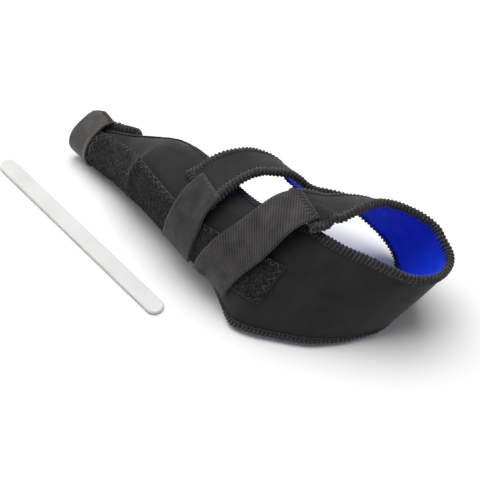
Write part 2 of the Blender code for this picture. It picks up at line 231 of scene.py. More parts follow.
def tucked(along, shares):
    """How far the sheet's upper edge is pressed inwards, where the toe tongue lies over it."""
    fading = 1 - smooth_step((along - TOE_TONGUE_BASE) / TOE_TONGUE_BASE)
    return (WALL + LAY_OFF) * smooth_step((shares - TUCK_START) / (1 - TUCK_START)) * fading


class Sheet:
    """The bent neoprene: an arc across from its lower to its upper edge, smooth from fold to fold."""

    def __init__(self, rows):
        self.rows = np.array(rows)
        middles = (self.rows[:, 0:3] + self.rows[:, 3:6]) / 2
        steps = np.linalg.norm(np.diff(middles, axis=0), axis=1)
        self.stations = np.concatenate([[0.0], np.cumsum(steps)])

    def station(self, row):
        return float(np.interp(row, range(len(self.stations)), self.stations))

    def edges(self, along):
        values = curve_value(self.rows, self.stations, along)
        return values[0:3], values[3:6], values[6]

    def middle(self, along):
        lower, upper, _ = self.edges(along)
        return (lower + upper) / 2

    def arc_length(self, along):
        lower, upper, bow = self.edges(along)
        half = np.linalg.norm(upper - lower) / 2
        return (half**2 + bow**2) / (2 * bow) * 4 * math.atan(bow / half)

    def column(self, along, shares, lifts=0.0):
        """Points at shares of the way round the arc, lifted off the sheet, one row of numbers each."""
        lower, upper, bow = self.edges(along)
        chord = upper - lower
        half = np.linalg.norm(chord) / 2
        up = chord / (2 * half)
        ahead = self.middle(along + SHEET_STEP / 2) - self.middle(along - SHEET_STEP / 2)
        out = np.cross(ahead, up)
        out /= np.linalg.norm(out)
        radius = (half**2 + bow**2) / (2 * bow)
        shares = np.asarray(shares, float)
        turns = (shares - 0.5) * 4 * math.atan(bow / half)
        centre = (lower + upper) / 2 + out * (bow - radius)
        reach = radius + np.asarray(lifts, float) - tucked(along, shares)
        points = centre + reach[:, None] * (np.cos(turns)[:, None] * out + np.sin(turns)[:, None] * up)
        points[:, 2] = np.maximum(points[:, 2], 0.0)
        return points

    def point(self, along, share, lift=0.0):
        return Vector(self.column(along, [share], [lift])[0])


def sheet_rows():
    """Lower edge, upper edge and bow of every fold, in metres, from the toe."""
    sizes = np.array([WRAP_LENGTH, WRAP_WIDTH, WRAP_HEIGHT])
    rows = []
    for along, across, diameter, upper_edge in TOE_SECTIONS:
        radius = diameter * TOE_LOOP_DIAMETER / 2
        centre = np.array([along * WRAP_LENGTH, across * WRAP_WIDTH, radius]) + PLACE
        ends = []
        for angle in (TOE_LOWER_EDGE, upper_edge):
            rad = math.radians(angle)
            ends.append(centre + radius * np.array([0, math.cos(rad), math.sin(rad)]))
        half_turn = math.radians(TOE_LOWER_EDGE - upper_edge) / 2
        rows.append([*ends[0], *ends[1], radius * (1 - math.cos(half_turn))])
    for fold in FOLDS:
        lower = np.array(fold[0:3]) * sizes + PLACE
        upper = np.array(fold[3:6]) * sizes + PLACE
        rows.append([*lower, *upper, fold[6] * WRAP_HEIGHT])
    return rows


SHEET = Sheet(sheet_rows())
FIRST_FOLD = len(TOE_SECTIONS)
FORK_START = SHEET.station(FIRST_FOLD + FORK_ROW)
REAR_TONGUE_END = SHEET.station(FIRST_FOLD + REAR_TONGUE_END_ROW)
FRONT_TONGUE_END = SHEET.station(FIRST_FOLD + FRONT_TONGUE_END_ROW)
print("the sheet is", round(FRONT_TONGUE_END * 1000), "mm long")

# %% [markdown]
# A fine grid of points on those curves becomes the outer face. Every point keeps how far along and how
# far round the cloth it lies as its UV, in metres, so a pitch is close to a real size. The shape is
# fitted and is no true bend of a flat sheet, so the knit is squeezed in some places and drawn out in
# others. The tongues are lifted off whatever they would cut through, as a hand would lay them down.

# %% Grids of points
FINE_STEP = 0.0016
FRONT_CELLS = 20
REAR_CELLS = 24
PUSH_REACH = 0.010


def steps_between(start, end, step=FINE_STEP):
    count = max(2, round((end - start) / step))
    return [start + (end - start) * k / count for k in range(count + 1)]


def add_grid(mesh, columns, flats):
    """Faces between neighbouring columns of points, with their places along and across the cloth as UVs."""
    layer = mesh.loops.layers.uv.verify()
    rings = [[mesh.verts.new(point) for point in column] for column in columns]
    for i in range(len(rings) - 1):
        for k in range(len(rings[i]) - 1):
            corners = ((i, k), (i + 1, k), (i + 1, k + 1), (i, k + 1))
            face = mesh.faces.new([rings[a][b] for a, b in corners])
            face.smooth = True
            for loop, (a, b) in zip(face.loops, corners):
                loop[layer].uv = flats[a][b]


def gap_edges(along):
    """Shares of the sheet between which the two tongues part, opening round from the fork."""
    opened = math.sqrt(min(1.0, (along - FORK_START) / TONGUE_GAP))
    lower, upper, _ = SHEET.edges(along)
    half = opened * TONGUE_GAP / 2 / np.linalg.norm(upper - lower)
    return FRONT_TONGUE_SHARE - half, FRONT_TONGUE_SHARE + half


def push_out(points, under, distance):
    """Points no nearer than a distance to the outer side of the surface under them."""
    pushed = []
    for point in points:
        point = Vector(point)
        spot, normal, _, _ = under.find_nearest(point)
        height = (point - spot).dot(normal)
        if height < distance and (point - spot).length < PUSH_REACH:
            point = point + normal * (distance - height)
        pushed.append(point)
    return pushed


# %% The outer face of the wrap
TOE_STRAP_WIDTH = 0.0155
MEDIAL_WALL_ROWS = 8
TOE_TONGUE_COLUMNS = 60
MERGE_DISTANCE = 0.00002


def flat_places(along, shares):
    return [(along, share * SHEET.arc_length(along)) for share in shares]


def medial_wall():
    """The inner wall alone, to lay tongues on."""
    mesh = bmesh.new()
    shares = np.linspace(0, 1, FRONT_CELLS + REAR_CELLS + 1)
    stations = steps_between(0, SHEET.station(FIRST_FOLD + MEDIAL_WALL_ROWS))
    add_grid(mesh, [SHEET.column(s, shares) for s in stations], [flat_places(s, shares) for s in stations])
    mesh.normal_update()
    surface = BVHTree.FromBMesh(mesh)
    mesh.free()
    return surface


def add_tongue(mesh, end, edges, cells, under):
    columns = []
    flats = []
    for along in steps_between(FORK_START, end):
        low, high = edges(along)
        shares = [low + (high - low) * k / cells for k in range(cells + 1)]
        columns.append(push_out(SHEET.column(along, shares), under, WALL + LAY_OFF))
        flats.append(flat_places(along, shares))
    add_grid(mesh, columns, flats)


def toe_loop_share(degrees):
    return (TOE_LOWER_EDGE - degrees) / (TOE_LOWER_EDGE - TOE_SECTIONS[1][3])


def toe_tongue_point(along, degrees):
    """On the small tongue, which winds on over the sheet's upper edge and narrows to the strap."""
    done = (degrees - TOE_LOWER_EDGE) / (TOE_TONGUE_END - TOE_LOWER_EDGE)
    narrowed = smooth_step((done - TAPER_START) / (1 - TAPER_START))
    reach = 1 - narrowed * (1 - TOE_STRAP_WIDTH / TOE_TONGUE_BASE)
    return SHEET.point(along * reach, toe_loop_share(degrees))


def outer_face():
    mesh = bmesh.new()
    cells = FRONT_CELLS + REAR_CELLS
    shares = [FRONT_TONGUE_SHARE * k / FRONT_CELLS for k in range(FRONT_CELLS)]
    shares += [FRONT_TONGUE_SHARE + (1 - FRONT_TONGUE_SHARE) * k / REAR_CELLS for k in range(REAR_CELLS + 1)]
    base = steps_between(0, TOE_TONGUE_BASE)
    stations = base + steps_between(TOE_TONGUE_BASE, FORK_START)[1:]
    add_grid(mesh, [SHEET.column(s, shares) for s in stations], [flat_places(s, shares) for s in stations])
    wall = medial_wall()
    add_tongue(mesh, FRONT_TONGUE_END, lambda along: (0.0, gap_edges(along)[0]), FRONT_CELLS, wall)
    add_tongue(mesh, REAR_TONGUE_END, lambda along: (gap_edges(along)[1], 1.0), REAR_CELLS, wall)
    columns = []
    flats = []
    for degrees in np.linspace(TOE_LOWER_EDGE, TOE_TONGUE_END, TOE_TONGUE_COLUMNS):
        columns.append([toe_tongue_point(along, degrees) for along in base])
        back = (TOE_LOWER_EDGE - degrees) * math.radians(1) * TOE_LOOP_DIAMETER / 2
        flats.append([(along, back) for along in base])
    add_grid(mesh, columns, flats)
    bmesh.ops.remove_doubles(mesh, verts=mesh.verts, dist=MERGE_DISTANCE)
    mesh.normal_update()
    return mesh


wrap_face = outer_face()
WRAP_AREA = sum(face.calc_area() for face in wrap_face.faces)
print("outer face:", len(wrap_face.verts), "points,", round(WRAP_AREA * 1e4), "cm2")

# %% [markdown]
# The pile strip lies on the inner wall, and the straps lie over both. Their routes are the model's: a
# strap's middle line is pulled tight over what is under it, then the strap is laid out square to that
# line.

# %% Pile strip and strap routes
CLEARANCE = 0.0003
PILE_START = 0.014
PILE_LENGTH = 0.147
PILE_WIDTH = 0.023
PILE_THICKNESS = 0.0011
STRAP_THICKNESS = 0.0011
FRONT_STRAP_WIDTH = 0.0205
REAR_STRAP_WIDTH = 0.022
TOE_STRAP_LAP = 0.0045
FRONT_STRAP_LAP = 0.007
REAR_STRAP_LAP = 0.005
FRONT_STRAP_SEAT = 0.26
REAR_STRAP_SEAT = 0.77
STRAP_STEP = 0.0025
STRAP_CELLS = 5
TIGHTENING_ROUNDS = 14
STRAP_POINTS_ACROSS = 23
STRAP_POINT_STEP = 0.001
EASING_ROUNDS = {"toe": 8, "front": 20, "rear": 80}
# the pile's upper edge: along the wrap and round the wall
PILE_EDGE = [(0.05, 0.84), (0.18, 0.70), (0.33, 0.63), (0.60, 0.60), (0.80, 0.66)]
# a strap's free run: along the wrap, round the wall, and how far off it
TOE_STRAP_RUN = [(0.039, 0.58, 0.0), (0.037, 0.40, 0.0), (0.034, 0.27, 0.0)]
FRONT_STRAP_RUN = [
    (0.537, 0.70, 0.0),
    (0.542, 0.60, 0.0),
    (0.545, 0.48, 0.0),
    (0.540, 0.40, 0.0),
    (0.532, 0.33, 0.0),
]
REAR_STRAP_RUN = [
    (0.702, 0.80, 0.09),
    (0.682, 0.62, 0.0),
    (0.666, 0.48, 0.0),
    (0.651, 0.34, 0.0),
    (0.643, 0.22, 0.0),
]


def pile_face(lift, step=FINE_STEP, cells=20):
    """A face of the pile strip, lifted off the wall, and the grid of points that it is made from."""
    places = np.array([along * WRAP_LENGTH for along, _ in PILE_EDGE])
    rounds = np.array([share for _, share in PILE_EDGE])
    mesh = bmesh.new()
    columns = []
    flats = []
    for along in steps_between(PILE_START, PILE_START + PILE_LENGTH, step):
        top = curve_value(rounds, places, along)
        arc = SHEET.arc_length(along)
        shares = [top - (1 - k / cells) * PILE_WIDTH / arc for k in range(cells + 1)]
        columns.append(SHEET.column(along, shares, [lift] * (cells + 1)))
        flats.append([(along, k / cells * PILE_WIDTH) for k in range(cells + 1)])
    add_grid(mesh, columns, flats)
    mesh.normal_update()
    return mesh, np.array(columns)


def surface_of(*meshes):
    """One surface to lay things on, from several open faces."""
    joined = bmesh.new()
    for mesh in meshes:
        data = bpy.data.meshes.new("lying")
        mesh.to_mesh(data)
        joined.from_mesh(data)
        bpy.data.meshes.remove(data)
    joined.normal_update()
    surface = BVHTree.FromBMesh(joined)
    joined.free()
    return surface


def pull_tight(points, under):
    """A path pulled taut over what lies under it, its two ends held."""
    for _ in range(TIGHTENING_ROUNDS):
        eased = [points[0]]
        for before, here, after in zip(points, points[1:], points[2:]):
            eased.append((before + 2 * here + after) / 4)
        eased.append(points[-1])
        points = push_out(eased, under, LAY_OFF)
    return points


def strap_lines(route, width, under):
    """Lines of points along a strap, side by side, lying on the surface under it."""
    lengths = np.concatenate([[0.0], np.cumsum([(b - a).length for a, b in zip(route, route[1:])])])
    values = np.array([list(point) for point in route])
    count = round(lengths[-1] / STRAP_STEP)
    middle = [Vector(curve_value(values, lengths, lengths[-1] * k / count)) for k in range(count + 1)]
    middle = pull_tight(middle, under)
    lines = []
    for side in np.linspace(-0.5, 0.5, STRAP_CELLS + 1):
        line = []
        for k, point in enumerate(middle):
            ahead = middle[min(k + 1, count)] - middle[max(k - 1, 0)]
            normal = under.find_nearest(point)[1]
            aside = point + ahead.cross(normal).normalized() * side * width
            spot = under.ray_cast(aside + normal * PUSH_REACH / 2, -normal)[0]
            if spot and (aside - spot).dot(normal) < LAY_OFF:
                aside = spot + normal * LAY_OFF
            line.append(aside)
        lines.append(pull_tight(line, under))
    return np.array([[list(point) for point in line] for line in lines])


def place_on(under, along, share, off=0.0):
    """The outermost spot over a place on the sheet, a clearance off what lies there, or further off."""
    base = SHEET.point(along, share)
    out = (SHEET.point(along, share, PUSH_REACH) - base).normalized()
    spot = under.ray_cast(base + out * PUSH_REACH, -out)[0]
    return (spot or base) + out * (LAY_OFF + off * WRAP_HEIGHT)


def wall_route(under, run):
    return [place_on(under, along * WRAP_LENGTH, share, off) for along, share, off in run]


def toe_strap_start():
    """Along the end of the toe tongue."""
    back = math.degrees(TOE_STRAP_LAP / (TOE_LOOP_DIAMETER / 2))
    places = []
    for k in range(3):
        spot = toe_tongue_point(TOE_TONGUE_BASE / 2, TOE_TONGUE_END - back * (2 - k) / 2)
        axis = Vector((spot.x, TOE_SECTIONS[0][1] * WRAP_WIDTH + PLACE[1], TOE_LOOP_DIAMETER / 2))
        places.append(spot + (spot - axis).normalized() * LAY_OFF)
    return places


def refine(lines, across, along):
    """A finer grid of points through the coarse lines, smooth both ways."""
    def through(grid, count):
        places = np.arange(len(grid), dtype=float)
        return np.array([curve_value(grid, places, at) for at in np.linspace(0, len(grid) - 1, count)])
    wide = through(lines, across)
    return through(wide.transpose(1, 0, 2), along).transpose(1, 0, 2)


def eased_along(grid, rounds):
    """Rows of points smoothed along the strap, their two ends held."""
    for _ in range(rounds):
        grid[:, 1:-1] = (grid[:, :-2] + 2 * grid[:, 1:-1] + grid[:, 2:]) / 4
    return grid


def strap_face(route, width, under, easing):
    """The underside of a strap as a fine open face, with UVs in metres along and across it."""
    coarse = strap_lines(route, width, under)
    length = float(np.linalg.norm(np.diff(coarse[STRAP_CELLS // 2], axis=0), axis=1).sum())
    across = STRAP_POINTS_ACROSS
    along = max(8, round(length / STRAP_POINT_STEP))
    fine = eased_along(refine(coarse, across, along), easing)
    mesh = bmesh.new()
    flats = []
    for j in range(across):
        flats.append([(length * k / (along - 1), width * j / (across - 1)) for k in range(along)])
    add_grid(mesh, fine, flats)
    mesh.normal_update()
    return mesh, length, fine


strip_face, _ = pile_face(CLEARANCE)
strip_top, strip_grid = pile_face(CLEARANCE + PILE_THICKNESS)
OUTER = surface_of(wrap_face, strip_top)
toe_route = toe_strap_start() + wall_route(OUTER, TOE_STRAP_RUN)
front_start = place_on(OUTER, FRONT_TONGUE_END - FRONT_STRAP_LAP, FRONT_STRAP_SEAT)
rear_start = place_on(OUTER, REAR_TONGUE_END - REAR_STRAP_LAP, REAR_STRAP_SEAT)
front_route = [front_start] + wall_route(OUTER, FRONT_STRAP_RUN)
rear_route = [rear_start] + wall_route(OUTER, REAR_STRAP_RUN)
strap_faces = {
    "toe": strap_face(toe_route, TOE_STRAP_WIDTH, OUTER, EASING_ROUNDS["toe"]),
    "front": strap_face(front_route, FRONT_STRAP_WIDTH, OUTER, EASING_ROUNDS["front"]),
    "rear": strap_face(rear_route, REAR_STRAP_WIDTH, OUTER, EASING_ROUNDS["rear"]),
}
print("strap lengths in mm:", {name: round(length * 1000) for name, (_, length, _) in strap_faces.items()})

# %% [markdown]
# Every cloth here is one of two constructions, so each has one shared node group. Knit is columns of
# small v-shaped stitches, and weave is ribs crossed by a finer thread; both read the UVs in metres, so
# a pitch is close to a real size. A third group gives the uneven patches that dye, rubbing and lint
# leave. The groups only put out masks, and each material sets its own colours and shine.

# %% Shared surface patterns
class Wiring:
    """Short calls that add nodes to a tree; each input takes a value or another node's output."""

    def __init__(self, tree):
        self.tree = tree

    def add(self, kind, **settings):
        node = self.tree.nodes.new(kind)
        for name, value in settings.items():
            setattr(node, name, value)
        return node

    def feed(self, socket, value):
        if isinstance(value, bpy.types.NodeSocket):
            self.tree.links.new(value, socket)
        else:
            socket.default_value = value

    def math(self, operation, first, second=0.0):
        node = self.add("ShaderNodeMath", operation=operation)
        self.feed(node.inputs[0], first)
        self.feed(node.inputs[1], second)
        return node.outputs[0]

    def clamped(self, value):
        return self.math("MINIMUM", self.math("MAXIMUM", value, 0.0), 1.0)

    def wave(self, turns):
        """A smooth wave from 0 to 1, one for each whole turn."""
        swing = self.math("SINE", self.math("MULTIPLY", turns, 2 * math.pi))
        return self.math("ADD", self.math("MULTIPLY", swing, 0.5), 0.5)

    def noise(self, place, scale, detail):
        node = self.add("ShaderNodeTexNoise")
        self.feed(node.inputs["Vector"], place)
        self.feed(node.inputs["Scale"], scale)
        self.feed(node.inputs["Detail"], detail)
        return node.outputs[0]

    def colours(self, share, low, high):
        """A colour between two, by a share."""
        node = self.add("ShaderNodeMix", data_type="RGBA")
        self.feed(node.inputs[0], share)
        self.feed(node.inputs[6], (*low, 1.0))
        self.feed(node.inputs[7], (*high, 1.0))
        return node.outputs[2]


def start_group(name, inputs, outputs):
    """A shader node group with named inputs and outputs, and its wiring."""
    tree = bpy.data.node_groups.new(name, "ShaderNodeTree")
    for title, kind, value in inputs:
        socket = tree.interface.new_socket(title, in_out="INPUT", socket_type=kind)
        if value is not None:
            socket.default_value = value
    for title in outputs:
        tree.interface.new_socket(title, in_out="OUTPUT", socket_type="NodeSocketFloat")
    wiring = Wiring(tree)
    start = wiring.add("NodeGroupInput")
    end = wiring.add("NodeGroupOutput")
    return tree, wiring, start, end


def knit_group():
    """Columns of v-shaped stitches: a height from 0 in the grooves to 1 on the thread."""
    inputs = [("Place", "NodeSocketVector", None), ("Course", "NodeSocketFloat", 0.0006)]
    tree, wiring, start, end = start_group("knit", inputs, ["Height"])
    split = wiring.add("ShaderNodeSeparateXYZ")
    wiring.feed(split.inputs[0], start.outputs["Place"])
    column = wiring.math("DIVIDE", split.outputs[1], start.outputs["Course"])
    course = wiring.math("DIVIDE", split.outputs[0], start.outputs["Course"])
    ridge = wiring.math("MULTIPLY", wiring.math("PINGPONG", column, 0.5), 2.0)
    slanted = wiring.math("ADD", course, wiring.math("MULTIPLY", ridge, 0.35))
    height = wiring.math("MULTIPLY", wiring.wave(slanted), wiring.math("POWER", ridge, 0.6))
    wiring.feed(end.inputs["Height"], height)
    return tree


def weave_group():
    """Ribs crossed by a finer thread, at a slant: a height from 0 between threads to 1 on them."""
    inputs = [
        ("Place", "NodeSocketVector", None),
        ("Rib", "NodeSocketFloat", 0.001),
        ("Slant", "NodeSocketFloat", 0.0),
        ("Crossing", "NodeSocketFloat", 0.5),
    ]
    tree, wiring, start, end = start_group("weave", inputs, ["Height"])
    split = wiring.add("ShaderNodeSeparateXYZ")
    wiring.feed(split.inputs[0], start.outputs["Place"])
    slant = start.outputs["Slant"]
    across = wiring.math("ADD", split.outputs[0], wiring.math("MULTIPLY", split.outputs[1], slant))
    along = wiring.math("SUBTRACT", split.outputs[1], wiring.math("MULTIPLY", split.outputs[0], slant))
    ribs = wiring.wave(wiring.math("DIVIDE", across, start.outputs["Rib"]))
    threads = wiring.wave(wiring.math("DIVIDE", wiring.math("DIVIDE", along, start.outputs["Rib"]), 0.6))
    kept = wiring.math("SUBTRACT", 1.0, start.outputs["Crossing"])
    cut = wiring.math("ADD", kept, wiring.math("MULTIPLY", threads, start.outputs["Crossing"]))
    wiring.feed(end.inputs["Height"], wiring.math("MULTIPLY", ribs, cut))
    return tree


def patches_group():
    """Uneven patches of a given size, with fine lint in them, from 0 to 1."""
    inputs = [
        ("Place", "NodeSocketVector", None),
        ("Size", "NodeSocketFloat", 0.01),
        ("Contrast", "NodeSocketFloat", 2.0),
    ]
    tree, wiring, start, end = start_group("patches", inputs, ["Share"])
    scale = wiring.math("DIVIDE", 1.0, start.outputs["Size"])
    cloud = wiring.noise(start.outputs["Place"], scale, 4.0)
    spread = wiring.math("MULTIPLY", wiring.math("SUBTRACT", cloud, 0.5), start.outputs["Contrast"])
    wiring.feed(end.inputs["Share"], wiring.clamped(wiring.math("ADD", spread, 0.5)))
    return tree


KNIT = knit_group()
WEAVE = weave_group()
PATCHES = patches_group()
print("patterns:", [tree.name for tree in (KNIT, WEAVE, PATCHES)])

# %% [markdown]
# A cloth's colour runs from its shaded grooves to its lit threads, then shifts a little with the
# patches. The same height lifts the surface, and rubbed patches are a bit smoother. Sheen stands for
# the short hairs that catch light at the edges of every fold.

# %% Cloth materials
# how much of a cloth's colour comes from its threads and from its patches, and how much smoother
# a rubbed patch can be
THREAD_SHARE = 0.55
PATCH_SHARE = 0.45
RUBBED_SMOOTHER = 0.12
FUZZ_SMOOTHER = 0.15
SOFT_SPECULAR = 0.25


def new_material(name):
    material = bpy.data.materials.new(name)
    material.use_nodes = True
    shader = material.node_tree.nodes["Principled BSDF"]
    return material, Wiring(material.node_tree), shader


def add_group(wiring, tree, place, **values):
    node = wiring.add("ShaderNodeGroup", node_tree=tree)
    wiring.feed(node.inputs["Place"], place)
    for title, value in values.items():
        node.inputs[title].default_value = value
    return node.outputs[0]


def cloth(name, dark, light, pattern, depth, patch, contrast=2.0, roughness=0.85, sheen=0.15, **values):
    """A cloth whose pattern group makes both its colour and its relief."""
    material, wiring, shader = new_material(name)
    place = wiring.add("ShaderNodeUVMap").outputs[0]
    height = add_group(wiring, pattern, place, **values)
    worn = add_group(wiring, PATCHES, place, Size=patch, Contrast=contrast)
    share = wiring.math(
        "ADD", wiring.math("MULTIPLY", height, THREAD_SHARE), wiring.math("MULTIPLY", worn, PATCH_SHARE)
    )
    wiring.feed(shader.inputs["Base Color"], wiring.colours(share, dark, light))
    smoother = wiring.math("MULTIPLY", worn, RUBBED_SMOOTHER)
    wiring.feed(shader.inputs["Roughness"], wiring.math("SUBTRACT", roughness, smoother))
    bump = wiring.add("ShaderNodeBump")
    bump.inputs["Distance"].default_value = depth
    wiring.feed(bump.inputs["Height"], height)
    wiring.feed(shader.inputs["Normal"], bump.outputs[0])
    shader.inputs["Sheen Weight"].default_value = sheen
    shader.inputs["Sheen Roughness"].default_value = 0.4
    shader.inputs["Specular IOR Level"].default_value = SOFT_SPECULAR
    return material


def fuzz(name, dark, light, size, contrast, roughness=0.9, sheen=0.2):
    """Thread, foam or loops: mottled by the place in space, with a fine relief."""
    material, wiring, shader = new_material(name)
    place = wiring.add("ShaderNodeTexCoord").outputs["Object"]
    patches = add_group(wiring, PATCHES, place, Size=size, Contrast=contrast)
    wiring.feed(shader.inputs["Base Color"], wiring.colours(patches, dark, light))
    smoother = wiring.math("MULTIPLY", patches, FUZZ_SMOOTHER)
    wiring.feed(shader.inputs["Roughness"], wiring.math("SUBTRACT", roughness, smoother))
    bump = wiring.add("ShaderNodeBump")
    bump.inputs["Distance"].default_value = size / 8
    wiring.feed(bump.inputs["Height"], patches)
    wiring.feed(shader.inputs["Normal"], bump.outputs[0])
    shader.inputs["Sheen Weight"].default_value = sheen
    shader.inputs["Specular IOR Level"].default_value = SOFT_SPECULAR
    return material


jersey = cloth(
    "charcoal_jersey", (0.012, 0.011, 0.012), (0.032, 0.030, 0.032), KNIT, 0.00008, 0.012, Course=0.0007
)
lining = cloth(
    "blue_lining", (0.001, 0.034, 0.74), (0.003, 0.085, 1.00), KNIT, 0.00012, 0.010, sheen=0.0, Course=0.0009
)
# this black is the rim's foam, and it is also painted on the rear strap as the shade inside its needle holes
foam_and_hole_shade = fuzz("black_foam", (0.006, 0.006, 0.006), (0.020, 0.020, 0.020), 0.0008, 3.0)
webbing = {
    # the toe webbing's lighter colours are partly its own finer weave and partly painted light, for the
    # strap's top that faces the lamp
    "toe": cloth(
        "toe_webbing", (0.045, 0.042, 0.040), (0.105, 0.098, 0.094), WEAVE, 0.00010, 0.006, 3.0, 0.75, 0.25,
        Rib=0.0008, Slant=0.0, Crossing=0.7,
    ),
    "front": cloth(
        "front_webbing", (0.014, 0.013, 0.013), (0.066, 0.061, 0.060), WEAVE, 0.00014, 0.008, 2.5, 0.80, 0.2,
        Rib=0.0009, Slant=0.0, Crossing=0.8,
    ),
    "rear": cloth(
        "rear_webbing", (0.006, 0.006, 0.006), (0.090, 0.083, 0.081), WEAVE, 0.00022, 0.010, 2.5, 0.75, 0.2,
        Rib=0.0016, Slant=0.55, Crossing=0.45,
    ),
}
pile_ground = fuzz("pile_ground", (0.004, 0.004, 0.004), (0.020, 0.019, 0.019), 0.0012, 4.0)
pile_loops = fuzz("pile_loops", (0.003, 0.003, 0.003), (0.028, 0.026, 0.026), 0.0024, 6.0)
rim_thread = fuzz("rim_thread", (0.014, 0.014, 0.014), (0.058, 0.056, 0.057), 0.0010, 3.0)
mat_thread = fuzz("mat_thread", (0.006, 0.006, 0.006), (0.030, 0.029, 0.030), 0.0007, 4.0)
grey_thread = fuzz("grey_thread", (0.040, 0.038, 0.037), (0.120, 0.116, 0.113), 0.0010, 3.0)
webbing_thread = fuzz("webbing_thread", (0.030, 0.028, 0.027), (0.085, 0.080, 0.077), 0.0010, 3.0)
print("cloths:", [jersey.name, lining.name, *(material.name for material in webbing.values())])

# %% [markdown]
# The wrap's edge is overlocked, so the neoprene ends a little inside the outline and the thread fills
# the rest. The points near the edge draw in with it, less and less over 3 mm, so that no cell of the
# grid folds over, and the sole rises by a thread, because the wrap stands on its stitches. The edge is
# followed once round as a path. Every point of it knows which way is out of the cloth and which way
# leads into it, so that stitches can be set upright on it.

# %% The wrap's edge as a path
RIM_CUT = 0.0009
RIM_SOFTNESS = 0.003
SOLE_LIFT = 0.0009
SOLE_SOFTNESS = 0.004


def follow_rim(mesh):
    """The points of the open edge in order, all the way round."""
    rim = [edge for edge in mesh.edges if edge.is_boundary]
    start = rim[0].verts[0]
    here = start
    came = None
    loop = []
    while True:
        loop.append(here)
        came = next(edge for edge in here.link_edges if edge.is_boundary and edge is not came)
        here = came.other_vert(here)
        if here is start:
            break
    if len(loop) != len(rim):
        raise RuntimeError("the wrap's edge is not one loop")
    return loop


def rim_directions(loop):
    """Which way is out of the cloth, and which way leads into it, at each point of the edge."""
    outs = []
    intos = []
    for k, vert in enumerate(loop):
        ahead = (loop[(k + 1) % len(loop)].co - loop[k - 1].co).normalized()
        middle = sum((face.calc_center_median() for face in vert.link_faces), Vector()) / len(vert.link_faces)
        inward = middle - vert.co
        inward -= vert.normal * inward.dot(vert.normal)
        inward -= ahead * inward.dot(ahead)
        outs.append(vert.normal.copy())
        intos.append(inward.normalized())
    return outs, intos


def path_object(name, points, outs, asides, closed):
    """A line of edges with the two directions kept on its points."""
    count = len(points)
    edges = [(k, (k + 1) % count) for k in range(count if closed else count - 1)]
    data = bpy.data.meshes.new(name)
    data.from_pydata([tuple(point) for point in points], edges, [])
    for title, values in (("out", outs), ("aside", asides)):
        layer = data.attributes.new(title, "FLOAT_VECTOR", "POINT")
        layer.data.foreach_set("vector", np.array([tuple(value) for value in values], float).ravel())
    thing = bpy.data.objects.new(name, data)
    bpy.context.scene.collection.objects.link(thing)
    return thing


rim = follow_rim(wrap_face)
rim_outs, rim_intos = rim_directions(rim)
nearest = KDTree(len(rim))
for k, vert in enumerate(rim):
    nearest.insert(vert.co, k)
nearest.balance()
for vert in wrap_face.verts:
    _, k, distance = nearest.find(vert.co)
    vert.co += rim_intos[k] * RIM_CUT * max(0.0, 1 - distance / RIM_SOFTNESS)
    vert.co.z += SOLE_LIFT * max(0.0, 1 - vert.co.z / SOLE_SOFTNESS)
rim_points = [vert.co.copy() for vert in rim]
wrap_face.normal_update()
rim_length = sum((b - a).length for a, b in zip(rim_points, rim_points[1:]))
print("overlocked edge:", round(rim_length * 1000), "mm")

# %% [markdown]
# Solid pieces come from the open faces with Solidify: inwards for the neoprene, outwards for the straps
# and the strip. The wrap gets three finishes from one modifier: jersey outside, lining inside, foam at
# the rim.

# %% Solid pieces
def finish_piece(thing, node=None):
    """Puts a piece on the wrap's one body, and hides the model's part that it stands for, if one is given."""
    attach(thing, "root")
    if node:
        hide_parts(node)
    return thing


def solid_piece(name, mesh, materials, thickness, grow):
    data = bpy.data.meshes.new(name)
    mesh.to_mesh(data)
    mesh.free()
    for material in materials:
        data.materials.append(material)
    thing = bpy.data.objects.new(name, data)
    bpy.context.scene.collection.objects.link(thing)
    solid = thing.modifiers.new("Wall", "SOLIDIFY")
    solid.thickness = thickness
    solid.offset = grow
    if len(materials) > 1:
        solid.material_offset = 1
        solid.material_offset_rim = 2
    return thing


INWARDS = -1
OUTWARDS = 1
wrap = solid_piece("jersey_wrap", wrap_face, [jersey, lining, foam_and_hole_shade], WALL, INWARDS)
finish_piece(wrap, "neoprene_wrap")
strip = solid_piece("pile_base", strip_face, [pile_ground], PILE_THICKNESS, OUTWARDS)
finish_piece(strip, "pile_strip")
for name, (mesh, length, _) in strap_faces.items():
    strap = solid_piece(name + "_webbing", mesh, [webbing[name]], STRAP_THICKNESS, OUTWARDS)
    finish_piece(strap, name + "_strap")

# %% [markdown]
# Stitches are threads with real thickness. One overlock stitch is a thread that starts at the needle
# line, slants to the edge, wraps round it and comes back inside, with a short dash of needle thread
# beside it. One loop of pile is a small arch. A needle hole is a small, shallow dark lens on the
# webbing, painted shade for the inside of the hole. Each is modelled once, and node trees repeat them.

# %% One stitch, one loop, one hole
MM = 0.001
# into the cloth, along the edge, out of the cloth, and the thread's radius, in mm
WRAPPING_THREAD = [
    (3.3, -0.55, 0.05, 0.34),
    (2.2, -0.20, 0.24, 0.50),
    (1.0, 0.20, 0.28, 0.58),
    (0.1, 0.50, 0.05, 0.66),
    (-0.3, 0.65, -0.60, 0.70),
    (-0.3, 0.75, -2.00, 0.70),
    (0.1, 0.90, -2.70, 0.62),
    (1.2, 1.00, -2.85, 0.54),
    (3.2, 1.10, -2.75, 0.36),
]
NEEDLE_THREAD = [
    (3.4, -0.95, 0.0, 0.20),
    (3.4, -0.45, 0.26, 0.26),
    (3.4, 0.40, 0.26, 0.26),
    (3.4, 0.85, 0.0, 0.20),
]
LOOP_RADIUS = 0.42
LOOP_THREAD = 0.13
LOOP_STEPS = 4
HOLE_RADIUS = 0.40
HOLE_SHAPE = (1.0, 0.7, 0.15)


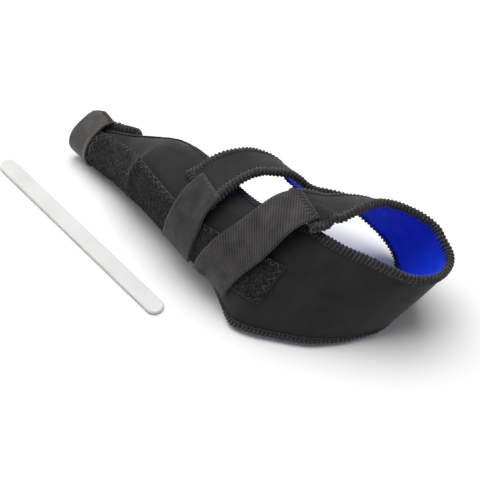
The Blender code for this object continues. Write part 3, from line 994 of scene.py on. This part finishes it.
def add_thread(mesh, places, sides):
    """A thread through places given in mm with its radius at each, closed at both ends."""
    points = [Vector(place[:3]) * MM for place in places]
    side = (points[1] - points[0]).orthogonal()
    rings = []
    for k, point in enumerate(points):
        ahead = (points[min(k + 1, len(points) - 1)] - points[max(k - 1, 0)]).normalized()
        side = (side - ahead * side.dot(ahead)).normalized()
        other = ahead.cross(side)
        ring = []
        for turn in np.arange(sides) * 2 * math.pi / sides:
            around = side * math.cos(turn) + other * math.sin(turn)
            ring.append(mesh.verts.new(point + around * places[k][3] * MM))
        rings.append(ring)
    for near, far in zip(rings, rings[1:]):
        for k in range(sides):
            after = (k + 1) % sides
            mesh.faces.new((near[k], near[after], far[after], far[k]))
    mesh.faces.new(rings[0][::-1])
    mesh.faces.new(rings[-1])


def shape_object(name, mesh):
    data = bpy.data.meshes.new(name)
    mesh.to_mesh(data)
    mesh.free()
    data.shade_smooth()
    return bpy.data.objects.new(name, data)


def overlock_stitch():
    mesh = bmesh.new()
    add_thread(mesh, WRAPPING_THREAD, 5)
    add_thread(mesh, NEEDLE_THREAD, 4)
    return shape_object("overlock_stitch", mesh)


def pile_loop():
    mesh = bmesh.new()
    arch = []
    for k in range(LOOP_STEPS + 1):
        turn = math.pi * k / LOOP_STEPS
        arch.append((LOOP_RADIUS * math.cos(turn), 0.0, LOOP_RADIUS * math.sin(turn), LOOP_THREAD))
    add_thread(mesh, arch, 3)
    return shape_object("pile_loop", mesh)


def needle_hole():
    mesh = bmesh.new()
    bmesh.ops.create_uvsphere(mesh, u_segments=8, v_segments=4, radius=HOLE_RADIUS * MM)
    bmesh.ops.scale(mesh, vec=HOLE_SHAPE, verts=mesh.verts)
    return shape_object("needle_hole", mesh)


shapes = {"stitch": overlock_stitch(), "loop": pile_loop(), "hole": needle_hole()}
print("faces each:", {name: len(shape.data.polygons) for name, shape in shapes.items()})

# %% [markdown]
# Three node trees do the repeating. The first sets a shape at an even pitch along a path, turned with
# the cloth. The second bends a path into a zigzag and gives it a round thread. The third scatters loops
# over a face and turns each one its own way. Every tree ends with real geometry and its material, and
# the result is kept as a plain mesh.

# %% Node trees that sew
STITCH_SIZES = (0.92, 1.06)
LOOP_SIZES = (0.7, 1.25)
LOOP_LEAN = 0.7


def start_tree(name, inputs):
    """A geometry node tree with named inputs, and its wiring."""
    tree = bpy.data.node_groups.new(name, "GeometryNodeTree")
    tree.interface.new_socket("Geometry", in_out="INPUT", socket_type="NodeSocketGeometry")
    for title, kind in inputs:
        tree.interface.new_socket(title, in_out="INPUT", socket_type=kind)
    tree.interface.new_socket("Geometry", in_out="OUTPUT", socket_type="NodeSocketGeometry")
    wiring = Wiring(tree)
    return tree, wiring, wiring.add("NodeGroupInput")


def end_tree(wiring, geometry, start):
    """Real geometry with its material."""
    real = wiring.add("GeometryNodeRealizeInstances")
    wiring.feed(real.inputs["Geometry"], geometry)
    painted = wiring.add("GeometryNodeSetMaterial")
    wiring.feed(painted.inputs["Geometry"], real.outputs[0])
    wiring.feed(painted.inputs["Material"], start.outputs["Material"])
    end = wiring.add("NodeGroupOutput")
    wiring.feed(end.inputs["Geometry"], painted.outputs[0])


def kept_direction(wiring, title):
    node = wiring.add("GeometryNodeInputNamedAttribute", data_type="FLOAT_VECTOR")
    node.inputs["Name"].default_value = title
    return node.outputs["Attribute"]


def shape_inside(wiring, start):
    """The geometry of the object that a tree repeats."""
    node = wiring.add("GeometryNodeObjectInfo")
    wiring.feed(node.inputs["Object"], start.outputs["Shape"])
    return node.outputs["Geometry"]


def even_points(wiring, start, pitch):
    """The path as a curve with a point at every step of the pitch."""
    curve = wiring.add("GeometryNodeMeshToCurve")
    wiring.feed(curve.inputs["Mesh"], start.outputs["Geometry"])
    even = wiring.add("GeometryNodeResampleCurve", mode="LENGTH")
    wiring.feed(even.inputs["Curve"], curve.outputs[0])
    wiring.feed(even.inputs["Length"], pitch)
    return even.outputs[0]


def random_between(wiring, start, low, high):
    node = wiring.add("FunctionNodeRandomValue", data_type="FLOAT")
    wiring.feed(node.inputs[2], low)
    wiring.feed(node.inputs[3], high)
    wiring.feed(node.inputs["Seed"], start.outputs["Seed"])
    return node.outputs[1]


def row_tree():
    """A shape at every step along a path, upright on the cloth, none quite the same size."""
    inputs = [("Shape", "NodeSocketObject"), ("Pitch", "NodeSocketFloat"), ("Seed", "NodeSocketInt")]
    tree, wiring, start = start_tree("row", inputs + [("Material", "NodeSocketMaterial")])
    turned = wiring.add("FunctionNodeAxesToRotation", primary_axis="Z", secondary_axis="X")
    wiring.feed(turned.inputs[0], kept_direction(wiring, "out"))
    wiring.feed(turned.inputs[1], kept_direction(wiring, "aside"))
    placed = wiring.add("GeometryNodeInstanceOnPoints")
    wiring.feed(placed.inputs["Points"], even_points(wiring, start, start.outputs["Pitch"]))
    wiring.feed(placed.inputs["Instance"], shape_inside(wiring, start))
    wiring.feed(placed.inputs["Rotation"], turned.outputs[0])
    wiring.feed(placed.inputs["Scale"], random_between(wiring, start, *STITCH_SIZES))
    end_tree(wiring, placed.outputs[0], start)
    return tree


def zigzag_tree():
    """A path bent from side to side, with a round thread."""
    inputs = [("Pitch", "NodeSocketFloat"), ("Reach", "NodeSocketFloat"), ("Lift", "NodeSocketFloat")]
    inputs += [("Radius", "NodeSocketFloat"), ("Material", "NodeSocketMaterial")]
    tree, wiring, start = start_tree("zigzag", inputs)
    half_pitch = wiring.math("MULTIPLY", start.outputs["Pitch"], 0.5)
    parity = wiring.math("MODULO", wiring.add("GeometryNodeInputIndex").outputs[0], 2.0)
    swing = wiring.math("SUBTRACT", 1.0, wiring.math("MULTIPLY", parity, 2.0))
    reach = wiring.math("MULTIPLY", swing, start.outputs["Reach"])
    sideways = wiring.add("ShaderNodeVectorMath", operation="SCALE")
    wiring.feed(sideways.inputs[0], kept_direction(wiring, "aside"))
    wiring.feed(sideways.inputs["Scale"], reach)
    upwards = wiring.add("ShaderNodeVectorMath", operation="SCALE")
    wiring.feed(upwards.inputs[0], kept_direction(wiring, "out"))
    wiring.feed(upwards.inputs["Scale"], start.outputs["Lift"])
    both = wiring.add("ShaderNodeVectorMath", operation="ADD")
    wiring.feed(both.inputs[0], sideways.outputs[0])
    wiring.feed(both.inputs[1], upwards.outputs[0])
    moved = wiring.add("GeometryNodeSetPosition")
    wiring.feed(moved.inputs["Geometry"], even_points(wiring, start, half_pitch))
    wiring.feed(moved.inputs["Offset"], both.outputs[0])
    eased = wiring.add("GeometryNodeCurveSplineType", spline_type="CATMULL_ROM")
    wiring.feed(eased.inputs["Curve"], moved.outputs[0])
    finer = wiring.add("GeometryNodeSetSplineResolution")
    wiring.feed(finer.inputs["Geometry"], eased.outputs[0])
    finer.inputs["Resolution"].default_value = 3
    circle = wiring.add("GeometryNodeCurvePrimitiveCircle")
    circle.inputs["Resolution"].default_value = 5
    wiring.feed(circle.inputs["Radius"], start.outputs["Radius"])
    thread = wiring.add("GeometryNodeCurveToMesh")
    wiring.feed(thread.inputs["Curve"], finer.outputs[0])
    wiring.feed(thread.inputs["Profile Curve"], circle.outputs[0])
    thread.inputs["Fill Caps"].default_value = True
    end_tree(wiring, thread.outputs[0], start)
    return tree


def scatter_tree():
    """Loops scattered over a face, each leaning and turned its own way."""
    inputs = [("Shape", "NodeSocketObject"), ("Density", "NodeSocketFloat"), ("Seed", "NodeSocketInt")]
    tree, wiring, start = start_tree("scatter", inputs + [("Material", "NodeSocketMaterial")])
    spread = wiring.add("GeometryNodeDistributePointsOnFaces", distribute_method="RANDOM")
    wiring.feed(spread.inputs["Mesh"], start.outputs["Geometry"])
    wiring.feed(spread.inputs["Density"], start.outputs["Density"])
    wiring.feed(spread.inputs["Seed"], start.outputs["Seed"])
    lean = wiring.add("FunctionNodeRandomValue", data_type="FLOAT_VECTOR")
    lean.inputs[0].default_value = (-LOOP_LEAN, -LOOP_LEAN, 0.0)
    lean.inputs[1].default_value = (LOOP_LEAN, LOOP_LEAN, 2 * math.pi)
    wiring.feed(lean.inputs["Seed"], start.outputs["Seed"])
    as_turn = wiring.add("FunctionNodeEulerToRotation")
    wiring.feed(as_turn.inputs[0], lean.outputs[0])
    turned = wiring.add("FunctionNodeRotateRotation", rotation_space="LOCAL")
    wiring.feed(turned.inputs[0], spread.outputs["Rotation"])
    wiring.feed(turned.inputs[1], as_turn.outputs[0])
    placed = wiring.add("GeometryNodeInstanceOnPoints")
    wiring.feed(placed.inputs["Points"], spread.outputs["Points"])
    wiring.feed(placed.inputs["Instance"], shape_inside(wiring, start))
    wiring.feed(placed.inputs["Rotation"], turned.outputs[0])
    wiring.feed(placed.inputs["Scale"], random_between(wiring, start, *LOOP_SIZES))
    end_tree(wiring, placed.outputs[0], start)
    return tree


def sew(thing, tree, slot, **values):
    """Runs a tree on an object and keeps the result as a plain mesh piece."""
    sewing = thing.modifiers.new("Sewing", "NODES")
    sewing.node_group = tree
    for socket in tree.interface.items_tree:
        if socket.in_out == "INPUT" and socket.name in values:
            sewing[socket.identifier] = values[socket.name]
    bpy.context.view_layer.update()
    graph = bpy.context.evaluated_depsgraph_get()
    made = bpy.data.meshes.new_from_object(thing.evaluated_get(graph), depsgraph=graph)
    thing.modifiers.clear()
    thing.data = made
    made.name = thing.name
    made.shade_smooth()
    return finish_piece(thing)


def thread_mat(name, section, points, outs, intos):
    """A closed band round an edge: the section, into and out of the cloth in mm, at every point of it."""
    mesh = bmesh.new()
    rings = []
    for point, out, into in zip(points, outs, intos):
        rings.append([mesh.verts.new(point + (into * deep + out * high) * MM) for deep, high in section])
    count = len(section)
    for near, far in zip(rings, rings[1:] + rings[:1]):
        for k in range(count):
            after = (k + 1) % count
            mesh.faces.new((near[k], far[k], far[after], near[after]))
    bmesh.ops.recalc_face_normals(mesh, faces=mesh.faces)
    thing = shape_object(name, mesh)
    bpy.context.scene.collection.objects.link(thing)
    return thing


ROW = row_tree()
ZIGZAG = zigzag_tree()
SCATTER = scatter_tree()
print("trees:", [tree.name for tree in (ROW, ZIGZAG, SCATTER)])

# %% [markdown]
# The overlock goes once round the whole edge of the neoprene, about one stitch every 2 mm, in thick
# woolly thread. It shows from outside as a band of slanted bars with a needle line beside it, and
# inside as a ladder on the blue. Finer crossing threads fill in between the bars, so a closed mat of
# thread lies under them all the way round.

# %% Overlocked edge
OVERLOCK_PITCH = 0.0020
# into the cloth and out of it, in mm, from the needle line round the edge to just inside
MAT_SECTION = [
    (3.0, 0.05),
    (1.8, 0.22),
    (0.4, 0.22),
    (-0.3, -0.3),
    (-0.45, -1.3),
    (-0.3, -2.3),
    (0.3, -2.75),
    (0.8, -2.60),
]
mat = thread_mat("overlock_mat", MAT_SECTION, rim_points, rim_outs, rim_intos)
mat.data.materials.append(mat_thread)
finish_piece(mat)
rim_path = path_object("overlock", rim_points, rim_outs, rim_intos, closed=True)
overlock = sew(
    rim_path, ROW, "neoprene", Shape=shapes["stitch"], Pitch=OVERLOCK_PITCH, Seed=3, Material=rim_thread
)
print("overlock:", len(overlock.data.polygons), "faces")

# %% [markdown]
# The pile is a field of small bent loops on a dark ground, and it looks mottled because they lean every
# way. The loops are scattered over the whole top of the strip, up to its edges, where the zigzag that
# holds the strip to the jersey runs.

# %% Loop pile
LOOPS_PER_M2 = 2.2e6


def piece_from(name, mesh):
    data = bpy.data.meshes.new(name)
    mesh.to_mesh(data)
    mesh.free()
    thing = bpy.data.objects.new(name, data)
    bpy.context.scene.collection.objects.link(thing)
    return thing


field = piece_from("pile_field", strip_top)
loops = sew(field, SCATTER, "pile", Shape=shapes["loop"], Density=LOOPS_PER_M2, Seed=11, Material=pile_loops)
print("pile:", len(loops.data.polygons), "faces")

# %% [markdown]
# Straps and strip are sewn on with zigzags. Each runs along a row of points of the grid under it,
# lifted to the top of the webbing. The strip's is a wide one in lighter thread, seen as separate
# strokes; the front strap's is dense and pale; the rear strap's is broad, in the webbing's own thread,
# with a row of needle holes behind it.

# %% Zigzag seams
def grid_frames(grid):
    """The outward direction and the two directions along a grid of points, at each point."""
    first = np.gradient(grid, axis=0)
    second = np.gradient(grid, axis=1)
    out = np.cross(first, second)
    return [part / np.linalg.norm(part, axis=2, keepdims=True) for part in (out, first, second)]


def across_strap(name, inset):
    """A path from side to side of a strap, a distance in from its sewn end, on top of the webbing."""
    _, length, grid = strap_faces[name]
    out, _, along = grid_frames(grid)
    column = round(inset / length * (grid.shape[1] - 1))
    rows = slice(1, grid.shape[0] - 1)
    points = grid[rows, column] + out[rows, column] * STRAP_THICKNESS
    return points, out[rows, column], along[rows, column]


def seam(name, points, outs, asides, pitch, reach, radius, material):
    path = path_object(name, points, outs, asides, closed=False)
    return sew(
        path, ZIGZAG, "webbing", Pitch=pitch, Reach=reach, Lift=radius * 0.5, Radius=radius, Material=material
    )


def pile_seam_path(inset):
    """Down one end of the strip, along its upper edge and down the other end."""
    out, along, up = grid_frames(strip_grid)
    last = strip_grid.shape[0] - 1
    top = strip_grid.shape[1] - 1
    near = round(inset / PILE_LENGTH * last)
    high = top - round(inset / PILE_WIDTH * top)
    keys = [(near, k) for k in range(1, high)] + [(k, high) for k in range(near, last - near)]
    keys += [(last - near, k) for k in range(high, 0, -1)]
    asides = [along[key] if key[1] < high else up[key] for key in keys]
    return [strip_grid[key] for key in keys], [out[key] for key in keys], asides


# how far in from the strap's sewn end, the pitch, the reach to each side and the thread's radius
STRAP_SEAMS = {
    "front": (0.0014, 0.0013, 0.0010, 0.00026, grey_thread),
    "rear": (0.0020, 0.0024, 0.0017, 0.00030, webbing_thread),
    "toe": (0.0016, 0.0018, 0.0012, 0.00026, webbing_thread),
}
PILE_SEAM = (0.0042, 0.0012, 0.00024, grey_thread)
PILE_SEAM_INSET = 0.0015
HOLE_PITCH = 0.0024
HOLE_INSET = 0.0046

seams = []
for name, (inset, *sizes) in STRAP_SEAMS.items():
    seams.append(seam(name + "_seam", *across_strap(name, inset), *sizes))
pile_seam = seam("pile_seam", *pile_seam_path(PILE_SEAM_INSET), *PILE_SEAM)
holes_path = path_object("needle_holes", *across_strap("rear", HOLE_INSET), closed=False)
# the needle holes are dark lenses in the foam's black: painted shade for the inside of each hole
holes = sew(holes_path, ROW, "webbing", Shape=shapes["hole"], Pitch=HOLE_PITCH, Seed=5, Material=foam_and_hole_shade)
for shape in shapes.values():
    bpy.data.objects.remove(shape)
print("seams:", [thing.name for thing in (*seams, pile_seam, holes)])

# %% [markdown]
# The splint bar keeps the model's own shape. It is a moulded, slightly clear white plastic: light goes
# a little way in, fine scratches run along it, and the faces have faint flow clouds.

# %% Splint bar
BAR_ROUGHNESS = 0.28
SCRATCH_DULLER = 0.15
SCRATCH_DEPTH = 0.00002
SCRATCH_STRETCH = (0.03, 1.0, 1.0)
BAR_SOFT_LIGHT = 0.25
BAR_LIGHT_DEPTH = 0.002


def splint_plastic():
    material, wiring, shader = new_material("splint_plastic")
    place = wiring.add("ShaderNodeTexCoord").outputs["Object"]
    clouds = add_group(wiring, PATCHES, place, Size=0.02, Contrast=1.6)
    wiring.feed(shader.inputs["Base Color"], wiring.colours(clouds, (0.64, 0.64, 0.625), (0.74, 0.74, 0.73)))
    stretch = wiring.add("ShaderNodeMapping")
    wiring.feed(stretch.inputs["Vector"], place)
    stretch.inputs["Scale"].default_value = SCRATCH_STRETCH
    scratches = add_group(wiring, PATCHES, stretch.outputs[0], Size=0.0006, Contrast=5.0)
    duller = wiring.math("MULTIPLY", scratches, SCRATCH_DULLER)
    wiring.feed(shader.inputs["Roughness"], wiring.math("ADD", duller, BAR_ROUGHNESS))
    bump = wiring.add("ShaderNodeBump")
    bump.inputs["Distance"].default_value = SCRATCH_DEPTH
    wiring.feed(bump.inputs["Height"], scratches)
    wiring.feed(shader.inputs["Normal"], bump.outputs[0])
    shader.inputs["Subsurface Weight"].default_value = BAR_SOFT_LIGHT
    shader.inputs["Subsurface Scale"].default_value = BAR_LIGHT_DEPTH
    return material


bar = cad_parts["splint_bar"]
bar.data.materials[0] = splint_plastic()
print("splint bar:", bar.data.materials[0].name)

# %% [markdown]
# The wrap, the strip and the straps are sheets. The wrap's cut is no rectangle, because two tongues
# and a small one stand out from it. No flat cut was unrolled: the area printed for it is the outer
# face's own, and the straps' lengths are those of the laid straps, so neither can show stretch.

# %% Sheets
print("wrap, outer face, in cm2:", round(WRAP_AREA * 1e4))
